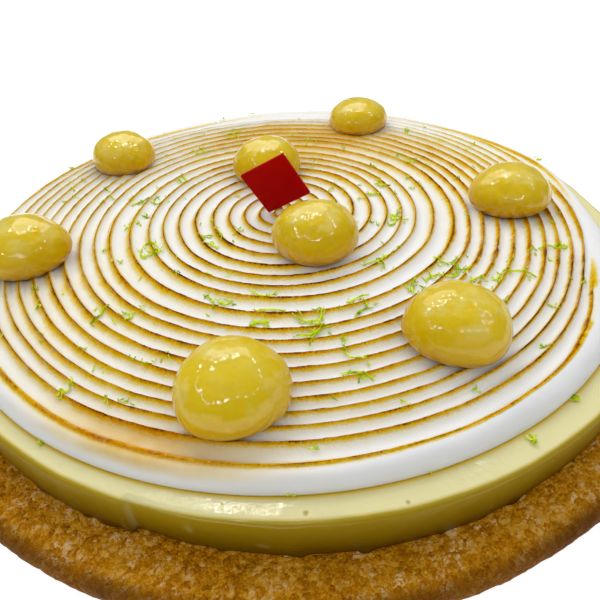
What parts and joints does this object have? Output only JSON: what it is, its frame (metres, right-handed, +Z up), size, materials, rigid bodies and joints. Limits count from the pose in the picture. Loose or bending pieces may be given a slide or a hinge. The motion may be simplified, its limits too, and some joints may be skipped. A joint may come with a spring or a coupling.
{
  "type": "lemon tart",
  "caption": "Round layered lemon tart: flat shortbread crust, disc of lemon cream, torched spiral meringue top, curd drops, lime zest and a bare red plaque.",
  "frame": {"origin": "centre of the crust's underside", "axes": "+Z up through the layers, -Y towards the front, which the reference view looks from"},
  "size_m": [0.24, 0.24, 0.044],
  "materials": {
    "shortbread": "matt baked crumb with pale specks and a darker edge",
    "lemon_cream": "smooth set cream, wet on top",
    "torched_meringue": "glossy white foam, browned along its ridges",
    "lemon_curd": "wet glossy translucent curd",
    "red_plaque": "bare satin red",
    "lime_zest": "fine moist shreds, bright green"
  },
  "bodies": {
    "root": {"crust": "shortbread", "lemon_cream": "lemon_cream", "meringue": "torched_meringue", "curd_drop_1": "lemon_curd", "curd_drop_2": "lemon_curd", "curd_drop_3": "lemon_curd", "curd_drop_4": "lemon_curd", "curd_drop_5": "lemon_curd", "curd_drop_6": "lemon_curd", "curd_drop_7": "lemon_curd", "curd_drop_8": "lemon_curd", "plaque": "red_plaque"}
  },
  "joints": []
}
